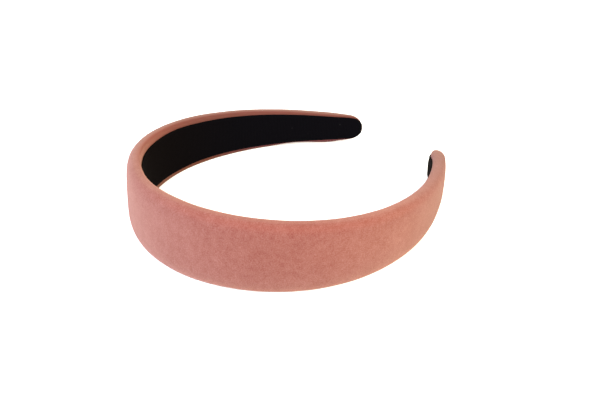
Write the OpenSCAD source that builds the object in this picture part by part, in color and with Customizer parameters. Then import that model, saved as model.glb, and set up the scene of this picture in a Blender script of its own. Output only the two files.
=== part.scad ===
// Wide padded headband, open at the back, lying on its lower edge
// Units are millimetres. +Z is up, +X points from the crown to the open ends.

/* [Plan of the inner face] */
// Length along the inner face from the middle of the crown to one end
half_len = 195; // [175:1:210]
// Radius of the inner face over the crown
crown_r = 64; // [58:0.5:70]
// Share of each arm, from the crown, that keeps the crown's radius
even_share = 0.42; // [0.3:0.02:0.5]
// Radius of the inner face at the ends
end_r = 440; // [250:10:600]

/* [Band] */
// Width at the middle of the crown
crown_w = 32.8; // [28:0.2:40]
// Width that the taper reaches at the ends
end_w = 12.6; // [9:0.2:16]
// How late the taper comes: 1 is straight, 2 holds the crown wide for longer
taper_power = 1.84; // [1.4:0.02:2.4]
// Thickness of the padded band, from the inner face to the outside
band_t = 6.7; // [5:0.1:9]

/* [Ends] */
// Length over which each end's outline is rounded
tip_len = 7; // [6:0.5:10]
// Length over which the padding thins out to nothing
thin_len = 15; // [12:1:30]
// Length over which the section turns from a flat pad to an oval
oval_len = 10; // [8:1:30]
// How far the ends bend outward
turn_out = 0.5; // [0:0.1:2.5]

/* [Section] */
// Squareness of the padded outside along the band: 2 is an oval, 6 is nearly a box
edge_power = 4; // [2.5:0.1:6]
// The same at the ends
end_edge_power = 3.6; // [2:0.1:4]
// Squareness of the turned-in inner side along the band, which is nearly flat
fold_power = 12; // [6:1:20]
// The same at the ends, where it swells under the ribbon
end_fold_power = 2; // [2:0.1:6]
// Height above the inner face at which the band is widest
fold_t = 1.1; // [0.8:0.1:2]
// The same at the ends
end_fold_t = 3; // [1:0.1:3.5]

/* [Lining] */
// Width of the ribbon where the band has room for it
ribbon_w = 23.4; // [18:0.2:26]
// Thickness of the ribbon
ribbon_t = 0.8; // [0.6:0.1:1.5]
// Bare border beside the ribbon halfway along each arm
border_w = 2.7; // [1.5:0.1:4]
// Bare border beside the ribbon at the ends
border_end_w = 0.5; // [0.3:0.1:1.5]
// Length over which the ribbon's ends are rounded
ribbon_tip_len = 13; // [6:0.5:16]
// Bare velvet beyond the ribbon at each end
ribbon_short = 0.6; // [0.4:0.1:3]
// Glue gap between the ribbon and the cover
glue_gap = 0.15; // [0.1:0.05:0.3]

/* [Rest] */
// Slope of the band's middle plane, down towards the open ends
lie_tilt = 3; // [2:0.5:4]
// Lean of the band's width against upright: above 0 its lower edge stands further out
lean = 1; // [0:0.5:3]
// How much of the soft lower edge is pressed flat where it rests
press_t = 0.35; // [0.1:0.05:0.6]

/* [Hidden] */

// Rings along each arm, and over each rounded end
arm_rings = 40;
tip_rings = 8;
// Angle of the end's rounding at which it stops at a small flat
tip_stop = 82;
// Length of the outward bend at each end
turn_len = 10;
// Squareness of the outlines of the ends: of the cover, of its thinning and of the ribbon
tip_power = 2;
thin_power = 2.6;
ribbon_tip_power = 3.3;
// Segments round the padded outside and the turned-in inner side, and across the ribbon
pad_segs = 18;
fold_segs = 10;
ribbon_segs = 10;
// Widest that the ribbon may be, as a share of the cover under it
ribbon_share = 0.93;
// Straight steps in which the plan is walked from the crown to one end
walk_steps = 390;

walk_step = half_len / walk_steps;
even_len = even_share * half_len;
tip_start = half_len - max(tip_len, ribbon_tip_len + ribbon_short);

// Heading of the inner face at arc length s: an arc over the crown, beyond it a curvature
// that changes evenly to the one at the ends, and a slight outward bend at the ends
function heading(s) =
    let (past = max(0, s - even_len), change = (1 / end_r - 1 / crown_r) / (half_len - even_len),
         bent = max(0, s - (half_len - turn_len)))
    (s / crown_r + change * past * past / 2 - 2 * turn_out * bent / (turn_len * turn_len)) * 180 / PI;

// Points of the inner face's line in plan, from the crown to the end of the +Y arm
walk = [
    for (i = 0, p = [0, 0]; i <= walk_steps;
         h = heading((i + 0.5) * walk_step), p = p + walk_step * [sin(h), cos(h)], i = i + 1) p
];

// Point of that line at arc length s
function on_walk(s) =
    let (f = min(s / walk_step, walk_steps - 0.001), i = floor(f))
    walk[i] + (f - i) * (walk[i + 1] - walk[i]);

// Arc lengths of one arm's rings, even at first and closer together towards end_s
function arm_stations(end_s) = concat(
    [for (i = [0 : arm_rings]) tip_start * i / arm_rings],
    [for (i = [1 : tip_rings]) tip_start + (end_s - tip_start) * sin(tip_stop * i / tip_rings)]);

// The same for the whole band, with the -Y arm's arc lengths negative
function stations(end_s) =
    let (arm = arm_stations(end_s))
    concat([for (i = [len(arm) - 1 : -1 : 1]) -arm[i]], arm);

// Share of the full size that is left at s, of a rounding of length len that ends at end_s
function left(s, end_s, len, power) =
    pow(1 - pow(max(0, (s - end_s + len) / len), power), 1 / power);

// Share by which the section at s has turned to an oval
function oval(s) = max(0, (s - half_len + oval_len) / oval_len);
function blend(a, b, share) = a + (b - a) * share;

// Width of the band at s, without the rounding of its ends and with it
function full_w(s) = blend(crown_w, end_w, pow(s / half_len, taper_power));
function band_w(s) = full_w(s) * left(s, half_len, tip_len, tip_power);

// Share of the padding's thickness that is left at s
function thin(s) = left(s, half_len, thin_len, thin_power);

// Height above the inner line at which the band is widest at s
function widest(s) = blend(fold_t, end_fold_t, oval(s)) * thin(s);

// Squareness of the inner side at s
function inner_power(s) = 1 / blend(1 / fold_power, 1 / end_fold_power, oval(s));

// Height of the inner side at s above the inner line, at b from the middle of its width
function inner_side(s, b) =
    let (p = inner_power(s), share = min(1, abs(b) * 2 / band_w(s)))
    widest(s) * (1 - pow(1 - pow(share, p), 1 / p));

// Width of the ribbon at s
function border(s) = blend(border_w, border_end_w, max(0, 2 * s / half_len - 1));
function lining_w(s) =
    let (end_s = half_len - ribbon_short, room = min(ribbon_w, full_w(s) - 2 * border(s)))
    min(ribbon_share * band_w(s), room * left(s, end_s, ribbon_tip_len, ribbon_tip_power));

// Signed power, for outlines between an oval and a box
function spow(v, p) = sign(v) * pow(abs(v), p);

// Section of the padded cover at s as [outward, across] points: the padded outside from
// one edge to the other, and back over the inner side
function cover_ring(s) =
    let (h = band_w(s) / 2, f = widest(s), t = band_t * thin(s),
         p = 2 / blend(edge_power, end_edge_power, oval(s)), q = 2 / inner_power(s))
    concat(
        [for (i = [0 : pad_segs]) let (a = 180 * i / pad_segs)
            [f + (t - f) * pow(sin(a), p), h * spow(cos(a), p)]],
        [for (i = [1 : fold_segs - 1]) let (a = 180 * i / fold_segs)
            [f * (1 - pow(sin(a), q)), -h * spow(cos(a), q)]]);

// Section of the ribbon at s, a strip that follows the inner side
function ribbon_ring(s) =
    let (across = [for (i = [0 : ribbon_segs]) lining_w(s) * (0.5 - i / ribbon_segs)])
    concat(
        [for (b = across) [inner_side(s, b) - glue_gap, b]],
        [for (i = [ribbon_segs : -1 : 0])
            [inner_side(s, across[i]) - glue_gap - ribbon_t, across[i]]]);

// A section set across the band at signed arc length s, with its lean and the tilt of the lying band
function placed(ring, s) =
    let (p = on_walk(abs(s)), h = heading(abs(s)), side = s < 0 ? -1 : 1)
    [for (q = ring)
        let (out = q[0] * cos(lean) - q[1] * sin(lean), z = q[1] * cos(lean) + q[0] * sin(lean),
             x = p[0] - out * cos(h), y = side * (p[1] + out * sin(h)))
        [x * cos(lie_tilt) + z * sin(lie_tilt), y, z * cos(lie_tilt) - x * sin(lie_tilt)]];

cover_rings = [for (s = stations(half_len)) placed(cover_ring(abs(s)), s)];
lining_rings = [for (s = stations(half_len - ribbon_short)) placed(ribbon_ring(abs(s)), s)];

// Middle and bottom of the lying band, which set the origin at the middle of its base
cover_x = [for (r = cover_rings) for (p = r) p[0]];
cover_z = [for (r = cover_rings) for (p = r) p[2]];
mid_x = (min(cover_x) + max(cover_x)) / 2;
floor_z = min(cover_z) + press_t;

// Rings moved to the origin, with the pressed part of the lower edge still below the floor
function settled(rings) = [for (r = rings) [for (p = r) [p[0] - mid_x, p[1], p[2] - floor_z]]];

// Closed solid through a row of rings with equal numbers of points
module skin(rings) {
    n = len(rings[0]);
    m = len(rings);
    polyhedron(
        points = [for (r = rings) each r],
        faces = concat(
            [[for (j = [n - 1 : -1 : 0]) j]],
            [for (i = [0 : m - 2]) for (j = [0 : n - 1])
                let (k = (j + 1) % n, a = i * n + j, b = i * n + k)
                each [[a, b + n, a + n], [a, b, b + n]]],
            [[for (j = [0 : n - 1]) (m - 1) * n + j]]),
        convexity = 6);
}

// Velvet over a padded core, which is one soft solid, pressed flat where it rests
module velvet_cover() {
    reach = 2 * half_len;
    color([0.78, 0.49, 0.43])
    difference() {
        skin(settled(cover_rings));
        translate([-reach / 2, -reach / 2, -crown_w]) cube([reach, reach, crown_w]);
    }
}

// Black ribbon glued round the inner face
module ribbon_lining() {
    color([0.06, 0.055, 0.055]) skin(settled(lining_rings));
}

velvet_cover();
ribbon_lining();
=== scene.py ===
# %% [markdown]
# # A padded velvet headband
# The real thing is a springy hoop with a thin pad of foam on its outside. Dusty rose velvet is
# stretched over the pad and turned in over both edges, and a black ribbon is glued round the
# inside, over the raw edges of the velvet. It lies on its lower edge on a table.
# The frame gives the two plain solids, their place and their size. Everything below dresses them.

# %% The frame
import math

import bmesh
import bpy
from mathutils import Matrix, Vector


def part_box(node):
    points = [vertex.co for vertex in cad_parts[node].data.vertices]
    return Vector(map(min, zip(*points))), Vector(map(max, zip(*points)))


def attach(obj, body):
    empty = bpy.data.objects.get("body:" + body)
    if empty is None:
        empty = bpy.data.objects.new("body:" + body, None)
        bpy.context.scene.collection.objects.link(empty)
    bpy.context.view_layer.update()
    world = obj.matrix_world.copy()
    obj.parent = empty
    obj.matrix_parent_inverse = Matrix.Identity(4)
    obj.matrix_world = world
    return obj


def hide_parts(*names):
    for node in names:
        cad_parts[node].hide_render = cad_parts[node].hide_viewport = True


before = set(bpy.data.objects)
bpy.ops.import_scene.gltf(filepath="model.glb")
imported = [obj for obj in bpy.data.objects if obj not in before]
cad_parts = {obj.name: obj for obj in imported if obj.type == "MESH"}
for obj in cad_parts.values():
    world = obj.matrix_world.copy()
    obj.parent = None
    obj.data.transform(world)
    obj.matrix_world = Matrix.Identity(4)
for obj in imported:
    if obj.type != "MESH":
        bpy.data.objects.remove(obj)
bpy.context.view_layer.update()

MM = 0.001

# %% [markdown]
# ## Camera
# The camera looks down on the band at about thirty degrees, from the side where the crown is
# nearest, and isn't rolled to either side. The distance and the lens belong together: closer
# with a wider lens would make the near side of the band loom larger.

# %% Where things stand round the band
aim = Vector((-13.2, -22.1, 14)) * MM


def direction(azimuth, elevation):
    """Unit vector outward from the aim. Azimuth 0 is towards -Y, and a quarter turn towards +X."""
    level = math.cos(elevation)
    return Vector((math.sin(azimuth) * level, -math.cos(azimuth) * level, math.sin(elevation)))


def face_aim(thing, outward):
    """Turns a camera or a lamp, which stands outward from the aim, to look at it."""
    thing.rotation_mode = "QUATERNION"
    thing.rotation_quaternion = (-outward).to_track_quat("-Z", "Y")


# %% Camera
view_azimuth = math.radians(-41.2)
view_elevation = math.radians(29.8)
view_distance = 288 * MM

towards_camera = direction(view_azimuth, view_elevation)
bpy.ops.object.camera_add(location=aim + view_distance * towards_camera)
camera = bpy.context.object
camera.name = "camera"
face_aim(camera, towards_camera)
camera.data.sensor_width = 36
camera.data.lens = 38.4
camera.data.clip_start = 0.01
camera.data.clip_end = 20
bpy.context.scene.camera = camera
print("camera, mm:", [round(v / MM) for v in camera.location])

# %% [markdown]
# ## Floor and light
# The band was photographed against white. A large pale floor does that here. It glows a little
# by itself, so that only a breath of shadow is left beside the band. The light is soft: bluish
# daylight from a window on the left, the warmer light of a room on the right, one lamp overhead
# and two behind, which keep the back of the band from going dark. The lamps are wide and close
# for the size of the band, so light reaches each place of the velvet from many directions.

# %% Floor
floor_size = 6.0
white = (1, 1, 1, 1)
bpy.ops.object.select_all(action="DESELECT")
bpy.ops.mesh.primitive_plane_add(size=floor_size, location=(0, 0, 0))
floor = bpy.context.object
floor.name = "floor"
floor_paint = bpy.data.materials.new("pale_floor")
floor_paint.use_nodes = True
floor_shader = floor_paint.node_tree.nodes["Principled BSDF"]
floor_shader.inputs["Base Color"].default_value = (0.9, 0.9, 0.9, 1)
floor_shader.inputs["Roughness"].default_value = 0.9
floor_shader.inputs["Specular IOR Level"].default_value = 0.1
floor_shader.inputs["Emission Color"].default_value = white
floor_shader.inputs["Emission Strength"].default_value = 0.3
floor.data.materials.append(floor_paint)
print("floor, m:", floor_size)

# %% Lamps
lamp_distance = 0.9


def soft_lamp(name, azimuth, elevation, size, watts, colour):
    """A square lamp that faces the band. Azimuth 0 is in front, seen from the camera."""
    outward = direction(view_azimuth + math.radians(azimuth), math.radians(elevation))
    bpy.ops.object.light_add(type="AREA", location=aim + lamp_distance * outward)
    lamp = bpy.context.object
    lamp.name = name
    face_aim(lamp, outward)
    lamp.data.size = size
    lamp.data.energy = watts
    lamp.data.color = colour


soft_lamp("window_low", -90, 10, 0.4, 5.8, (0.38, 0.71, 1.0))
soft_lamp("window_side", -75, 30, 0.7, 5.1, (0.78, 0.68, 1.0))
soft_lamp("window_front", -40, 30, 0.7, 8.5, (0.92, 1.0, 0.98))
soft_lamp("room_front", 40, 30, 0.7, 10.6, (1.0, 0.95, 0.73))
soft_lamp("room_side", 75, 30, 0.7, 4.4, (1.0, 0.97, 0.62))
soft_lamp("ceiling", 0, 75, 0.9, 4.8, (1.0, 0.98, 0.96))
soft_lamp("behind_left", -145, 25, 0.9, 6.0, (1.0, 0.9, 0.82))
soft_lamp("behind_right", 145, 25, 0.9, 6.0, (1.0, 0.9, 0.82))
print("lamps, watts:", round(sum(lamp.energy for lamp in bpy.data.lights), 1))

# %% Light from all round
world = bpy.data.worlds.new("studio")
world.use_nodes = True
background = world.node_tree.nodes["Background"]
background.inputs["Color"].default_value = white
background.inputs["Strength"].default_value = 0.1
bpy.context.scene.world = world
bpy.context.scene.view_settings.view_transform = "Standard"

# %% [markdown]
# ## The form that the band is bent round
# Both pieces are easiest to make straight, as the maker has them before bending: a long pad and
# a long strip. A curve then bends them both, so they stay exactly beside each other.
# The curve is the line of the inner face. Over the crown it is an arc, and from there its
# curvature falls evenly to almost nothing. The last stretch turns slightly outward, as the
# ends of such a band do so that they don't press behind the ears.

# %% Sizes of the band
# The inner face's line: its length to one end, its radius over the crown and how far that
# reaches, its radius at the ends, and how far it turns outward over its last stretch
half_len = 195 * MM
crown_r = 64 * MM
even_len = 0.42 * half_len
end_r = 440 * MM
turn_out = 0.5 * MM
turn_len = 10 * MM

# The width at the crown and at the ends, how late it tapers, and the thickness
crown_w = 32.8 * MM
end_w = 12.6 * MM
taper_power = 1.84
band_t = 6.7 * MM

# How it lies: down towards its ends, with its lower edge a little further out
lie_tilt = math.radians(3)
lean = math.radians(1)


# %% The form's curve
def heading(s):
    """Turn of the inner face between the crown and arc length s."""
    past = max(0.0, s - even_len)
    bent = max(0.0, s - (half_len - turn_len))
    change = (1 / end_r - 1 / crown_r) / (half_len - even_len)
    return s / crown_r + change * past * past / 2 - 2 * turn_out * bent / turn_len ** 2


def arm_line(steps=390):
    """Points along the inner face from the crown to the end of the +Y arm."""
    step = half_len / steps
    points = [Vector((0, 0, 0))]
    for i in range(steps):
        h = heading((i + 0.5) * step)
        points.append(points[-1] + step * Vector((math.sin(h), math.cos(h), 0)))
    return points


arm = arm_line()
whole_line = [Vector((p.x, -p.y, 0)) for p in reversed(arm[1:])] + arm
form_data = bpy.data.curves.new("form", "CURVE")
form_data.dimensions = "2D"
spline = form_data.splines.new("POLY")
spline.points.add(len(whole_line) - 1)
for point, place in zip(spline.points, whole_line):
    point.co = (*place, 1)
form = bpy.data.objects.new("form", form_data)
bpy.context.scene.collection.objects.link(form)
depth, width = max(p.x for p in arm), 2 * max(p.y for p in arm)
print("form: depth and width inside, mm:", round(depth / MM, 1), round(width / MM, 1))

# %% [markdown]
# ## Helpers for working by hand in edit mode
# Each step picks what it works on by place, then uses an ordinary modelling operator on it.

# %% Picking
same_place = 0.01 * MM


def choose(piece):
    """Selects this piece alone and makes it the active one, as operators need."""
    bpy.ops.object.select_all(action="DESELECT")
    piece.select_set(True)
    bpy.context.view_layer.objects.active = piece


def begin(name):
    """Takes the new primitive into edit mode, with its place and size in its mesh."""
    piece = bpy.context.object
    piece.name = piece.data.name = name
    bpy.ops.object.transform_apply(location=True, rotation=True, scale=True)
    bpy.ops.object.mode_set(mode="EDIT")
    bpy.ops.mesh.select_mode(type="VERT")
    return piece


def pick(piece, kind, test):
    """Selects the vertices, edges or faces whose place passes the test, and says how many."""
    bpy.ops.mesh.select_mode(type={"verts": "VERT", "edges": "EDGE", "faces": "FACE"}[kind])
    bpy.ops.mesh.select_all(action="DESELECT")
    bm = bmesh.from_edit_mesh(piece.data)
    n = 0
    for item in getattr(bm, kind):
        if kind == "verts":
            ok = test(item.co)
        elif kind == "edges":
            ok = test(item.verts[0].co, item.verts[1].co)
        else:
            ok = test(item.calc_center_median())
        item.select_set(ok)
        n += ok
    bm.select_flush_mode()
    bmesh.update_edit_mesh(piece.data)
    return n


def at(x):
    """Test for vertices or faces that lie across the band at x."""
    return lambda co: abs(co.x - x) < same_place


# %% Rings, modifiers and boxes
def size_ring(piece, x, width, thickness=None, roundness=0.0, inner_y=0.0):
    """Turns the ring selected at x towards an oval, then sets its width, thickness and place."""
    bpy.ops.mesh.select_mode(type="VERT")
    if roundness > 0:
        bpy.ops.transform.tosphere(value=roundness)
    bm = bmesh.from_edit_mesh(piece.data)
    ring = [v.co for v in bm.verts if v.select]
    low, high = min(c.y for c in ring), max(c.y for c in ring)
    across = max(c.z for c in ring) - min(c.z for c in ring)
    outward = thickness / (high - low) if thickness else 1
    bpy.ops.transform.resize(value=(1, outward, width / across), center_override=(x, low, 0))
    if thickness:
        bpy.ops.transform.translate(value=(0, inner_y - low, 0))


def apply_modifier(piece, kind, **settings):
    """Adds one modifier, sets it and applies it."""
    modifier = piece.modifiers.new(kind.lower(), kind)
    for key, value in settings.items():
        setattr(modifier, key, value)
    choose(piece)
    bpy.ops.object.modifier_apply(modifier=modifier.name)


def box_mm(low, high):
    """Two corners in millimetres, for the printed checks."""
    return [[round(v / MM, 2) for v in corner] for corner in (low, high)]


def piece_box(piece):
    """Lowest and highest corner of a piece, in millimetres."""
    places = [v.co for v in piece.data.vertices]
    return box_mm(*([f(p[i] for p in places) for i in range(3)] for f in (min, max)))


# %% [markdown]
# ## Widths along the band
# The band is widest over the crown and tapers late, then quickly. Its outline is rounded off
# at each end, the padding thins out there, and the flat section turns to an oval, because the
# velvet's two turned-in edges meet under the ribbon. The ends are finished by hand and aren't
# quite alike, so each has its own few sizes. x is the place along the straight band, 0 at the
# crown, below 0 on the near arm and above 0 on the far one.

# %% The two ends
# The tip values round the outline, the thin ones thin the padding, the oval ones turn the
# section, and inward is how far the folded velvet lifts the inner side. The ribbon stops short
# of the end, has its own rounding, and leaves a bare border beside it.
near_end = {
    "tip_len": 7.2 * MM, "tip_power": 2.0,
    "thin_len": 16 * MM, "thin_power": 2.9,
    "oval_len": 12 * MM, "oval": 0.8, "inward": 1.45 * MM,
    "ribbon_short": 1.5 * MM, "ribbon_tip_len": 11.7 * MM, "ribbon_tip_power": 2.2,
    "border_w": 1.9 * MM,
}
far_end = {
    "tip_len": 7.3 * MM, "tip_power": 2.1,
    "thin_len": 11 * MM, "thin_power": 2.7,
    "oval_len": 15 * MM, "oval": 0.6, "inward": 0.3 * MM,
    "ribbon_short": 0.5 * MM, "ribbon_tip_len": 12.9 * MM, "ribbon_tip_power": 4.2,
    "border_w": 0.6 * MM,
}

# The inner side begins to lift this far from each end, and has lifted after this rise
fold_len = 17 * MM
fold_rise = 7 * MM


def end_at(x):
    """The end that the arm at x runs to."""
    return near_end if x < 0 else far_end


# %% Widths
def soft_step(v):
    """0 below 0, 1 above 1, and a soft rise between."""
    v = min(1.0, max(0.0, v))
    return v * v * (3 - 2 * v)


def left(x, end_s, length, power):
    """Share that is left at x of a rounding which ends at end_s."""
    v = min(1.0, max(0.0, (abs(x) - end_s + length) / length))
    return (1 - v ** power) ** (1 / power)


def full_w(x):
    """Width at x before the ends are rounded."""
    return crown_w - (crown_w - end_w) * (abs(x) / half_len) ** taper_power


def band_w(x):
    """Width at x."""
    return full_w(x) * left(x, half_len, end_at(x)["tip_len"], end_at(x)["tip_power"])


def thin(x):
    """Share of the padding's thickness at x."""
    return left(x, half_len, end_at(x)["thin_len"], end_at(x)["thin_power"])


def oval(x):
    """How far the ring at x is turned from a flat pad's section to a circle's."""
    return end_at(x)["oval"] * max(0.0, 1 - (half_len - abs(x)) / end_at(x)["oval_len"])


def inner_y(x):
    """Height of the inner side at x, which is below 0 where folded velvet lifts it inward."""
    lifted = soft_step((abs(x) - half_len + fold_len) / fold_rise)
    return -end_at(x)["inward"] * thin(x) ** 5 * lifted


for name, x in (("crown", 0), ("halfway", half_len / 2), ("20 mm from an end", half_len - 20 * MM)):
    print("width, mm,", name, round(band_w(x) / MM, 1))

# %% [markdown]
# ## The padded cover
# The cover starts as a cube drawn out to a bar, a little thinner than the finished pad. Its two
# outer long edges get a wide round bevel, where velvet bends over the foam, and its two inner
# ones a smaller one, where it is turned in. Then the bar is cut into rings, tapered, and its
# ends are drawn out ring by ring into thin rounded tips.

# %% Cover: a bar with rounded edges
outer_round = 3.0 * MM
inner_round = 1.2 * MM
arm_end = half_len - 12 * MM

# What the stuffing adds: it swells wide stretches more, and draws the edges in
swell = 0.9 * MM
swell_power = 4 / 3
narrowing = 0.15 * MM


def slack_t(x):
    """Thickness of the pad before it is stuffed."""
    return thin(x) * (band_t - swell * (full_w(x) / crown_w) ** swell_power)


def is_long(a, b):
    return abs(a.x - b.x) > half_len


bpy.ops.object.select_all(action="DESELECT")
bpy.ops.mesh.primitive_cube_add(size=1, location=(0, slack_t(0) / 2, 0))
bpy.context.object.scale = (2 * arm_end, slack_t(0), crown_w)
cover = begin("velvet_cover_pad")
pick(cover, "edges", lambda a, b: is_long(a, b) and a.y > band_t / 2)
bpy.ops.mesh.bevel(offset=outer_round, segments=5, affect="EDGES")
pick(cover, "edges", lambda a, b: is_long(a, b) and a.y <= band_t / 2)
bpy.ops.mesh.bevel(offset=inner_round, segments=3, affect="EDGES")

# %% Cover: cut into rings, and across
cover_rings = 76
cuts_across = 11
bevel_margin = 1.2 * MM

long_edges = pick(cover, "edges", is_long)
bpy.ops.mesh.subdivide(number_cuts=cover_rings - 1)
for i in range(cuts_across):
    z = (crown_w / 2 - outer_round - bevel_margin) * (2 * i / (cuts_across - 1) - 1)
    bpy.ops.mesh.select_all(action="SELECT")
    bpy.ops.mesh.bisect(plane_co=(0, 0, z), plane_no=(0, 0, 1))
print("cover: long edges", long_edges, "each in pieces:", cover_rings)

# %% Cover: tapered, with its ends drawn out
tip_steps = 8
tip_stop = math.radians(82)


def size_cover_ring(x, roundness):
    size_ring(cover, x, band_w(x) + narrowing, slack_t(x) - inner_y(x), roundness, inner_y(x))


def tip_places(side, end_s):
    """Places of the rings that round off an arm, ever closer together towards end_s."""
    steps = [math.sin(tip_stop * i / tip_steps) for i in range(tip_steps + 1)]
    return [side * (arm_end + (end_s - arm_end) * step) for step in steps]


for i in range(cover_rings + 1):
    x = arm_end * (2 * i / cover_rings - 1)
    pick(cover, "verts", at(x))
    size_cover_ring(x, oval(x))
for side in (-1, 1):
    places = tip_places(side, half_len)
    for x, next_x in zip(places, places[1:]):
        pick(cover, "faces", at(x))
        bpy.ops.mesh.extrude_region_move(TRANSFORM_OT_translate={"value": (next_x - x, 0, 0)})
        size_cover_ring(next_x, (oval(next_x) - oval(x)) / (1 - oval(x)))
bpy.ops.object.mode_set(mode="OBJECT")
apply_modifier(cover, "SUBSURF", levels=1, render_levels=1)
print("cover: points in the slack pad", len(cover.data.vertices), "box, mm:", piece_box(cover))

# %% [markdown]
# ## Stuffing the cover
# The velvet is stretched over foam and glued down on the inside. A cloth simulation does the
# same: the inner side is pinned, and a light even pressure lifts the rest until the cloth's own
# tension holds it. That gives the soft crown across the band, which a bevel can't. The cloth is
# very light and strongly damped, because at this small scale a heavy one would hardly move in
# twenty frames. How far a point may go is capped, and the result is applied to the mesh.

# %% Glue and cloth
facing_inward = -0.3
held_tip = 2 * MM


def glue_inner_side(piece):
    """Vertex group of the points that stay put: the inner side and the very ends."""
    held = [v.index for v in piece.data.vertices
            if v.normal.y < facing_inward or abs(v.co.x) > half_len - held_tip]
    piece.vertex_groups.new(name="glued").add(held, 1.0, "REPLACE")


def add_cloth(piece, pressure, frames):
    """Cloth modifier of a light, strongly damped velvet with air under it."""
    cloth = piece.modifiers.new("cloth", "CLOTH")
    settings = cloth.settings
    settings.quality = 5
    settings.mass = 0.0002
    settings.tension_stiffness = settings.compression_stiffness = 15
    settings.shear_stiffness = 5
    settings.bending_stiffness = 0.02
    settings.tension_damping = settings.compression_damping = settings.shear_damping = 25
    settings.air_damping = 10
    settings.use_pressure = True
    settings.uniform_pressure_force = pressure
    settings.vertex_group_mass = "glued"
    settings.effector_weights.gravity = 0
    cloth.collision_settings.use_collision = False
    cloth.point_cache.frame_start, cloth.point_cache.frame_end = 1, frames
    return cloth


# %% Stuffing
def stuff(piece, pressure, cap, frames=20):
    """Inflates a pad whose inner side is glued down, and returns how far its points moved."""
    slack = [v.co.copy() for v in piece.data.vertices]
    glue_inner_side(piece)
    cloth = add_cloth(piece, pressure, frames)
    for frame_number in range(1, frames + 1):
        bpy.context.scene.frame_set(frame_number)
    choose(piece)
    bpy.ops.object.modifier_apply(modifier=cloth.name)
    bpy.context.scene.frame_set(1)
    moves = []
    for vertex, start in zip(piece.data.vertices, slack):
        move = vertex.co - start
        if move.length > cap:
            vertex.co = start + move * (cap / move.length)
        moves.append(min(cap, move.length))
    piece.vertex_groups.clear()
    return moves


moves = stuff(cover, pressure=1.75, cap=1.2 * MM)
print("cover: moved by the stuffing, mm: most", round(max(moves) / MM, 2))
for s in (0, 60, 120, 160, 180):
    ring = [v.co for v in cover.data.vertices if abs(v.co.x - s * MM) < 1.5 * MM]
    thickness, width = max(c.y for c in ring), 2 * max(c.z for c in ring)
    print(f"  at {s} mm: thickness", round(thickness / MM, 2), "width", round(width / MM, 2))

# %% [markdown]
# ## Handmade unevenness
# Velvet that is pulled over an edge by hand never lies quite even. Proportional editing pulls
# the far arm's lower edge tight in one place and lets it sag beside it, and evens out the
# upper edge at the crown. A faint displacement does the rest, and one more subdivision leaves
# the padded surface smooth.

# %% Pulling
grip = 2 * MM


def pull(piece, x, reach, move, side=-1):
    """Moves an inner edge at x, the lower one unless side is 1, with a falloff over its reach."""
    edge = band_w(x) / 2 - grip

    def gripped(co):
        return abs(co.x - x) < grip and side * co.z > edge and co.y < band_t / 2

    choose(piece)
    bpy.ops.object.mode_set(mode="EDIT")
    n = pick(piece, "verts", gripped)
    bpy.ops.mesh.select_mode(type="VERT")
    bpy.ops.transform.translate(
        value=move, use_proportional_edit=True, proportional_edit_falloff="SMOOTH",
        proportional_size=reach)
    bpy.ops.object.mode_set(mode="OBJECT")
    return n


# %% Tight and slack places
# Place, reach and move at the far end's lower corner, for the cover and for the ribbon on it
far_corner = (188 * MM, 7 * MM, (0, 0, -0.45 * MM))
before = [v.co.copy() for v in cover.data.vertices]

# The far arm's lower edge: slack, tight, slack again, and full at its corner
pulled = pull(cover, 110 * MM, 22 * MM, (0, 0, -0.35 * MM))
pulled += pull(cover, 153 * MM, 12 * MM, (0, 0.1 * MM, 0.5 * MM))
pulled += pull(cover, 175 * MM, 12 * MM, (0, -0.1 * MM, -1.0 * MM))
pulled += pull(cover, *far_corner)

# The crown's upper edge
pulled += pull(cover, 10 * MM, 24 * MM, (0, 0.2 * MM, -0.3 * MM), side=1)
pulled += pull(cover, 30 * MM, 18 * MM, (0, -0.25 * MM, 0.2 * MM), side=1)
most = max((v.co - start).length for v, start in zip(cover.data.vertices, before))
print("cover: points pulled", pulled, "most, mm:", round(most / MM, 2))

# %% Faint unevenness
unevenness = bpy.data.textures.new("unevenness", "CLOUDS")
unevenness.noise_scale = 22 * MM
unevenness.noise_depth = 1
apply_modifier(
    cover, "DISPLACE", texture=unevenness, texture_coords="LOCAL", mid_level=0.5,
    strength=0.3 * MM)
apply_modifier(cover, "SUBSURF", levels=1, render_levels=1)
print("cover: faces", len(cover.data.polygons))

# %% [markdown]
# ## A map that follows the velvet
# The velvet's patterns have to run along and across the cloth, also where it turns over an
# edge. The map's first number is the place along the band. The second is the way across the
# cloth, from the middle of the outside, over the edge and back along the inside. Both are in
# metres, so a pattern has its real size. Two more values are stored at each point: how far it
# lies on the turned-in velvet inside, and how far on the bend over an edge, because painted
# light and shade differ in both places.

# %% Where a point lies on the cloth
end_margin = 0.5 * MM


def short_of_end(x):
    """The place x, kept away from the very ends, where the width is 0."""
    return math.copysign(min(abs(x), half_len - end_margin), x)


def across_cloth(co):
    """Way over the section from the middle of the outside to a point of the straight pad."""
    x = short_of_end(co.x)
    half_w, full_t = band_w(x) / 2, band_t * thin(x)
    way = abs(co.z) + max(0.0, full_t - co.y)
    if co.y < full_t / 3:
        way = half_w + full_t - co.y + max(0.0, half_w - abs(co.z))
    return math.copysign(way, co.z)


# Turned-in velvet begins below this share of the thickness, and is all there after a rise.
# The bend over an edge begins this far from it, and is all there after a rise too.
turned_share, turned_rise = 0.45, 0.35
bend_reach, bend_rise = 4 * MM, 3.5 * MM


def turned_in(co):
    """Share by which a point of the straight pad lies past the edge, on the turned-in velvet."""
    full_t = band_t * thin(short_of_end(co.x))
    return soft_step((turned_share * full_t - co.y) / (turned_rise * full_t))


def over_edge(co):
    """Share by which a point of the straight pad lies on the bend over either long edge."""
    half_w = band_w(short_of_end(co.x)) / 2
    return soft_step((abs(co.z) - half_w + bend_reach) / bend_rise)


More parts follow.
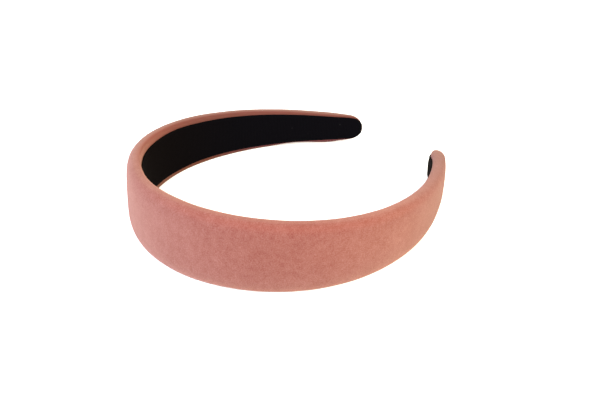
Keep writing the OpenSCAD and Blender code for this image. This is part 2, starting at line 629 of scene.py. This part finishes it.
# %% Maps
def map_piece(piece, across):
    """A UV map in metres: along the band, and across it."""
    layer = piece.data.uv_layers.active or piece.data.uv_layers.new(name="band")
    layer.name = "band"
    for loop in piece.data.loops:
        co = piece.data.vertices[loop.vertex_index].co
        layer.data[loop.index].uv = (co.x, across(co))


map_piece(cover, across_cloth)
for name, share_at in (("turned_in", turned_in), ("over_edge", over_edge)):
    shares = cover.data.attributes.new(name, "FLOAT", "POINT")
    for vertex in cover.data.vertices:
        shares.data[vertex.index].value = share_at(vertex.co)
    print(name, "on points:", sum(item.value > 0.5 for item in shares.data))

# %% [markdown]
# ## The ribbon
# A ribbon is a flat woven strip. It starts as a grid of the ribbon's full width. Each ring
# of points is scaled to the width that the band has room for there, and the ends are extruded
# in ever smaller steps to round them. Shrinkwrap lays it on the cover's inner side, as glue
# would, and Solidify gives it its thickness. The far end's lower corner was cut a little
# fuller, together with the velvet under it.

# %% Width of the ribbon
ribbon_w = 23.4 * MM
border_w = 2.7 * MM
ribbon_share = 0.93


def ribbon_room(x):
    """Width of the ribbon at x: its own, or what the band's borders leave."""
    end = end_at(x)
    border = border_w + (end["border_w"] - border_w) * max(0.0, 2 * abs(x) / half_len - 1)
    room = min(ribbon_w, full_w(x) - 2 * border)
    rounded = left(
        x, half_len - end["ribbon_short"], end["ribbon_tip_len"], end["ribbon_tip_power"])
    return min(ribbon_share * band_w(x), room * rounded)


# %% Ribbon, flat
ribbon_rings = 76
ribbon_cuts = 12
below_cover = -3 * MM

bpy.ops.object.select_all(action="DESELECT")
bpy.ops.mesh.primitive_grid_add(
    x_subdivisions=ribbon_rings, y_subdivisions=ribbon_cuts, size=1,
    location=(0, below_cover, 0), rotation=(math.pi / 2, 0, 0))
bpy.context.object.scale = (2 * arm_end, ribbon_w, 1)
ribbon = begin("ribbon_lining_strip")
for i in range(ribbon_rings + 1):
    x = arm_end * (2 * i / ribbon_rings - 1)
    pick(ribbon, "verts", at(x))
    size_ring(ribbon, x, ribbon_room(x))
for side in (-1, 1):
    places = tip_places(side, half_len - end_at(side)["ribbon_short"])
    for x, next_x in zip(places, places[1:]):
        pick(ribbon, "verts", at(x))
        bpy.ops.mesh.extrude_region_move(TRANSFORM_OT_translate={"value": (next_x - x, 0, 0)})
        size_ring(ribbon, next_x, ribbon_room(next_x))
bpy.ops.object.mode_set(mode="OBJECT")
pull(ribbon, *far_corner)

# %% Ribbon, glued on
ribbon_t = 0.5 * MM
glue_gap = 0.15 * MM
ribbon_edge = 0.2 * MM

map_piece(ribbon, lambda co: co.z)
apply_modifier(
    ribbon, "SHRINKWRAP", target=cover, wrap_method="PROJECT", use_project_y=True,
    use_positive_direction=True, use_negative_direction=False)
for vertex in ribbon.data.vertices:
    vertex.co.y -= glue_gap + ribbon_t / 2
apply_modifier(ribbon, "SOLIDIFY", thickness=ribbon_t, offset=0)
apply_modifier(ribbon, "BEVEL", width=ribbon_edge, segments=2, limit_method="ANGLE")
print("ribbon: straight, box, mm:", piece_box(ribbon))

# %% [markdown]
# ## Bending and laying down
# A Curve modifier bends both pieces round the form. The band tapers, so on a table it lies with
# its middle plane three degrees down towards the ends. Both pieces get the same turn and the
# same move, which is read off the solid ribbon. Where the soft lower edge carries the band, it
# is pressed flat.

# %% Bending and laying
def turn(piece, angles):
    """Turns a piece about the origin, in its mesh."""
    choose(piece)
    piece.rotation_euler = angles
    bpy.ops.object.transform_apply(location=True, rotation=True, scale=True)


def bend(piece):
    """Bends a straight piece round the form. Its x = 0, the crown, goes to the curve's middle."""
    turn(piece, (lean, 0, 0))
    for vertex in piece.data.vertices:
        vertex.co.x += half_len
    apply_modifier(piece, "CURVE", object=form, deform_axis="POS_X")


def lay(piece, move=None):
    """Tilts a bent piece and moves it. Without a move, it goes where the solid ribbon lies."""
    turn(piece, (0, lie_tilt, 0))
    if move is None:
        low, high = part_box("ribbon_lining")
        xs = [v.co.x for v in piece.data.vertices]
        zs = [v.co.z for v in piece.data.vertices]
        move = Vector((low[0] - min(xs), 0, high[2] - max(zs)))
    piece.location = move
    bpy.ops.object.transform_apply(location=True, rotation=True, scale=True)
    return move


# %% Bent and laid down
bend(ribbon)
bend(cover)
to_rest = lay(ribbon)
lay(cover, to_rest)
bpy.data.objects.remove(form)
print("move to rest, mm:", [round(v / MM, 2) for v in to_rest])
for piece, node in ((ribbon, "ribbon_lining"), (cover, "velvet_cover")):
    print(piece.name, "box, mm:", piece_box(piece), "solid's:", box_mm(*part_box(node)))
for vertex in cover.data.vertices:
    vertex.co.z = max(0, vertex.co.z)

# %% [markdown]
# ## Velvet
# Velvet is a short dense pile that stands up from the cloth. Seen straight on, the eye looks
# down between the fibres into shade. Seen at a grazing angle it meets their lit tips, so every
# rounded edge is paler than the middle. The shader's sheen does that, together with a painted
# sheen, a paler colour at grazing angles. The pile also leans this way and that, which noise of
# three sizes gives: soft patches across the band, small mottling, and the grain of single tufts,
# which a bump raises too. On top of the pile, each further place is one small step: painted light
# over the near arm's bends, a darker and a paler stretch on its front, painted cool light at its
# lower edge and its end, and painted shade over the far arm's bends, on the turned-in velvet and
# along the lower edge, with a painted highlight near the crown.

# %% Node helpers
class Cloth:
    """A new material with a Principled shader, and short ways to add nodes to it."""

    def __init__(self, name, roughness, specular, sheen, sheen_roughness, sheen_tint):
        self.material = bpy.data.materials.new(name)
        self.material.use_nodes = True
        self.tree = self.material.node_tree
        self.shader = self.tree.nodes["Principled BSDF"]
        self.shader.inputs["Roughness"].default_value = roughness
        self.shader.inputs["Specular IOR Level"].default_value = specular
        self.shader.inputs["Sheen Weight"].default_value = sheen
        self.shader.inputs["Sheen Roughness"].default_value = sheen_roughness
        self.shader.inputs["Sheen Tint"].default_value = (*sheen_tint, 1)

    def add(self, kind, links=None, **settings):
        """One node: settings are its properties, links its sockets' values or sources."""
        node = self.tree.nodes.new(kind)
        for key, value in settings.items():
            setattr(node, key, value)
        for key, value in (links or {}).items():
            if isinstance(value, bpy.types.NodeSocket):
                self.tree.links.new(value, node.inputs[key])
            else:
                node.inputs[key].default_value = value
        return node

    def noise(self, place, scale, detail, roughness=0.5):
        """Value from 0 to 1 of a noise whose features repeat scale times in a metre."""
        links = {"Vector": place, "Scale": scale, "Detail": detail, "Roughness": roughness}
        return self.add("ShaderNodeTexNoise", links).outputs["Fac"]

    def weigh(self, value, low, high, to_low=0.0, to_high=1.0):
        """Maps low..high of a value to to_low..to_high, and holds it there beyond them."""
        links = {
            "Value": value, "From Min": low, "From Max": high, "To Min": to_low,
            "To Max": to_high}
        return self.add("ShaderNodeMapRange", links).outputs["Result"]

    def plus(self, a, b):
        return self.add("ShaderNodeMath", {0: a, 1: b}, operation="ADD").outputs[0]

    def times(self, a, b):
        return self.add("ShaderNodeMath", {0: a, 1: b}, operation="MULTIPLY").outputs[0]

    def within(self, value, start, full, fading, end):
        """0 up to start, 1 from full to fading, and 0 again from end on, with ramps between."""
        return self.times(self.weigh(value, start, full), self.weigh(value, end, fading))

    def mix(self, share, a, b, blend="MIX"):
        """Colour between a and b, each a source or a plain colour."""
        a, b = ((*c, 1) if isinstance(c, tuple) else c for c in (a, b))
        links = {0: share, 6: a, 7: b}
        return self.add("ShaderNodeMix", links, data_type="RGBA", blend_type=blend).outputs[2]

    def set(self, socket, source):
        self.tree.links.new(source, self.shader.inputs[socket])

    def finish(self, piece):
        """Gives the material to its piece."""
        piece.data.materials.append(self.material)
        print(self.material.name, "nodes:", len(self.tree.nodes))


# %% Rose velvet: where on the band
velvet = Cloth(
    "rose_velvet", roughness=0.95, specular=0.02, sheen=0.225, sheen_roughness=0.7,
    sheen_tint=(1.0, 0.72, 0.55))
place = velvet.add("ShaderNodeTexCoord").outputs["Object"]
band_map = velvet.add("ShaderNodeUVMap", uv_map="band").outputs["UV"]
along, across, _ = velvet.add("ShaderNodeSeparateXYZ", {"Vector": band_map}).outputs
edge = velvet.add("ShaderNodeAttribute", attribute_name="over_edge").outputs["Fac"]
turned = velvet.add("ShaderNodeAttribute", attribute_name="turned_in").outputs["Fac"]

# %% [markdown]
# ### The pile
# Patches, mottling and tufts add up to one value, the height of the pile. Low pile is deep rose
# and high pile pale. The patches are drawn out across the band, as a hand strokes it.

# %% Rose velvet: pile
drawn_out = (1, 0.35, 1)
deep_rose = (0.129, 0.0268, 0.0238)
pale_rose = (0.2065, 0.0805, 0.073)

stroked = velvet.add("ShaderNodeMapping", {"Vector": band_map, "Scale": drawn_out}).outputs[0]
patches = velvet.noise(stroked, scale=110, detail=2)
mottle = velvet.noise(place, scale=420, detail=3, roughness=0.6)
tufts = velvet.noise(place, scale=2100, detail=2, roughness=0.7)
patches = velvet.weigh(patches, 0.3, 0.7, -0.1, 0.1)
mottle = velvet.weigh(mottle, 0.3, 0.7, -0.18, 0.18)
pile = velvet.plus(patches, mottle)
pile = velvet.plus(pile, velvet.weigh(tufts, 0.38, 0.8, 0.0, 1.0))
pile = velvet.weigh(pile, -0.1, 1.1)
colour = velvet.mix(pile, deep_rose, pale_rose)

# %% [markdown]
# ### Light on the pile
# A painted sheen makes the colour paler at grazing angles, where the tips catch the light. Over
# the near arm's bends painted light makes it paler. The front of that arm is darker in its first
# third and paler beyond its middle. Towards its lower edge painted cool window light makes it
# cooler, and at its end painted cool light makes it a little greyer. A MULTIPLY or an ADD keeps
# the grain of the pile, which a plain mix would cover.

# %% Rose velvet: painted light, and darker and paler places
painted_sheen = (0.04, 0.026, 0.023)
painted_edge_light = (0.024, 0.0055, 0.0025)
darker_factor = (0.945, 0.925, 0.93)
paler_factor = (1.06, 1.1, 1.07)

# Painted sheen: a paler colour added at grazing angles
grazing = velvet.add("ShaderNodeLayerWeight", {"Blend": 0.5}).outputs["Facing"]
colour = velvet.mix(velvet.weigh(grazing, 0.35, 1.0, 0.0, 0.7), colour, painted_sheen, "ADD")
# Painted light from above over the near arm's bends
near_edge = velvet.times(edge, velvet.weigh(along, 0.02, -0.02))
colour = velvet.mix(near_edge, colour, painted_edge_light, "ADD")
# Darker over the near arm's front in its first third, paler beyond its middle
darker_front = velvet.within(along, -0.015, -0.045, -0.06, -0.08)
darker_front = velvet.times(darker_front, velvet.within(across, 0.015, 0.009, -0.006, -0.014))
colour = velvet.mix(darker_front, colour, darker_factor, "MULTIPLY")
paler_front = velvet.within(along, -0.065, -0.095, -0.105, -0.13)
colour = velvet.mix(paler_front, colour, paler_factor, "MULTIPLY")

# %% Rose velvet: painted cool light at the edge and the end
cool_light = (0.004, 0.008, 0.009)
deep_cool_lit = (0.0925, 0.0205, 0.0235)
pale_cool_lit = (0.1485, 0.0545, 0.0625)

# Painted cool window light towards the near arm's lower edge
cool = velvet.times(velvet.weigh(across, 0.002, -0.014), velvet.weigh(along, 0.0, -0.07))
colour = velvet.mix(cool, colour, cool_light, "ADD")
# Painted cool light at the near arm's end, a little greyer
cool_lit_end = velvet.mix(pile, deep_cool_lit, pale_cool_lit)
colour = velvet.mix(velvet.weigh(along, -0.11, -0.17, 0.0, 0.85), colour, cool_lit_end)

# %% [markdown]
# ### Bends and turned-in velvet
# On the far arm the bends get painted shade. Where the velvet is turned in and glued beside
# the ribbon, painted shade makes it deeper and more orange, darkest along the lower edge. Near
# the crown a painted highlight lies on a narrow band of it.

# %% Rose velvet: far bends and turned-in velvet
shaded_bend = (0.084, 0.0285, 0.0305)
turned_in_shade_crown, turned_in_shade_far = (0.135, 0.017, 0.012), (0.095, 0.0195, 0.0165)
painted_crown_highlight = (0.05, 0.03, 0.018)
lower_shade_crown, lower_shade_far = (0.07, 0.0095, 0.005), (0.066, 0.0115, 0.021)

far_bend = velvet.times(edge, velvet.weigh(along, 0.03, 0.09, 0.0, 0.75))
colour = velvet.mix(far_bend, colour, shaded_bend)
# Painted shade on the turned-in velvet beside the ribbon, deeper and more orange
glued = velvet.mix(velvet.weigh(along, 0.06, 0.1), turned_in_shade_crown, turned_in_shade_far)
colour = velvet.mix(velvet.times(turned, velvet.weigh(along, 0.01, 0.04, 0.0, 0.9)), colour, glued)
# Painted highlight on a narrow band of turned-in velvet near the crown
crown_highlight_mask = velvet.within(along, 0.025, 0.01, -0.03, -0.07)
crown_highlight_mask = velvet.times(crown_highlight_mask, velvet.weigh(turned, 0.75, 0.95))
colour = velvet.mix(crown_highlight_mask, colour, painted_crown_highlight, "ADD")
# Painted shade along the lower edge of the turned-in velvet
lower_edge_shade = velvet.mix(velvet.weigh(along, 0.1, 0.13), lower_shade_crown, lower_shade_far)
lower_shade_mask = velvet.times(turned, velvet.weigh(across, -0.006, -0.009, 0.0, 0.85))
colour = velvet.mix(lower_shade_mask, colour, lower_edge_shade)

# %% Rose velvet: finished
raised = velvet.add("ShaderNodeBump", {"Height": tufts, "Strength": 0.2, "Distance": 0.25 * MM})
velvet.set("Base Color", colour)
velvet.set("Normal", raised.outputs[0])
velvet.finish(cover)

# %% [markdown]
# ## Black ribbon
# The ribbon is a matt black weave with fine ribs across it. Painted reflected light makes the
# black a shade warmer over the crown, where the rose velvet colours the light, and cooler on
# the far arm. Black cloth picks up lint, so a few pale specks lie on it.

# %% Black ribbon: ribs
rib_pitch = 0.9 * MM
# At scale 1, a wave texture repeats every pi / 10
rib_scale = math.pi / (10 * rib_pitch)
valley_crown, valley_far = (0.0023, 0.0012, 0.0009), (0.0014, 0.0012, 0.0019)
crest_crown, crest_far = (0.0031, 0.0018, 0.0013), (0.0021, 0.0018, 0.0028)

black = Cloth(
    "black_ribbon", roughness=0.8, specular=0.01, sheen=0.0, sheen_roughness=0.3,
    sheen_tint=(1, 1, 1))
black_map = black.add("ShaderNodeUVMap", uv_map="band").outputs["UV"]
ribs = black.add(
    "ShaderNodeTexWave", {"Vector": black_map, "Scale": rib_scale, "Distortion": 0.3},
    wave_type="BANDS", bands_direction="X", wave_profile="SIN").outputs["Fac"]
along_ribbon = black.add("ShaderNodeSeparateXYZ", {"Vector": black_map}).outputs["X"]
# Painted reflected light: warmer black over the crown, cooler on the far arm
far = black.weigh(along_ribbon, 0.03, 0.12)
valley = black.mix(far, valley_crown, valley_far)
crest = black.mix(far, crest_crown, crest_far)
weave = black.mix(ribs, valley, crest)

# %% Black ribbon: lint, and finished
lint = (0.018, 0.018, 0.019)
# Place along and across the ribbon, and radius, in millimetres
specks = ((181.5, 2.4, 0.35), (153.5, 0.4, 0.3), (163, -3.0, 0.2))

for x, z, radius in specks:
    centre = (x * MM, z * MM, 0)
    away = black.add("ShaderNodeVectorMath", {0: black_map, 1: centre}, operation="DISTANCE")
    speck = black.weigh(away.outputs["Value"], radius * MM, 0.4 * radius * MM, 0.0, 0.8)
    weave = black.mix(speck, weave, lint)
ribbed = black.add("ShaderNodeBump", {"Height": ribs, "Strength": 0.3, "Distance": 0.1 * MM})
black.set("Base Color", weave)
black.set("Normal", ribbed.outputs[0])
black.finish(ribbon)

# %% [markdown]
# ## Finishing
# Both pieces are smooth all over, so their faces are shaded smooth. Then each piece hides the
# solid it replaces and is attached to the root, so that it doesn't move by itself.

# %% Smooth shading
for piece in (cover, ribbon):
    for face in piece.data.polygons:
        face.use_smooth = True
    print(piece.name, "triangles:", sum(len(face.vertices) - 2 for face in piece.data.polygons))

# %% What the pieces are
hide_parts("velvet_cover")
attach(cover, "root")
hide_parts("ribbon_lining")
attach(ribbon, "root")
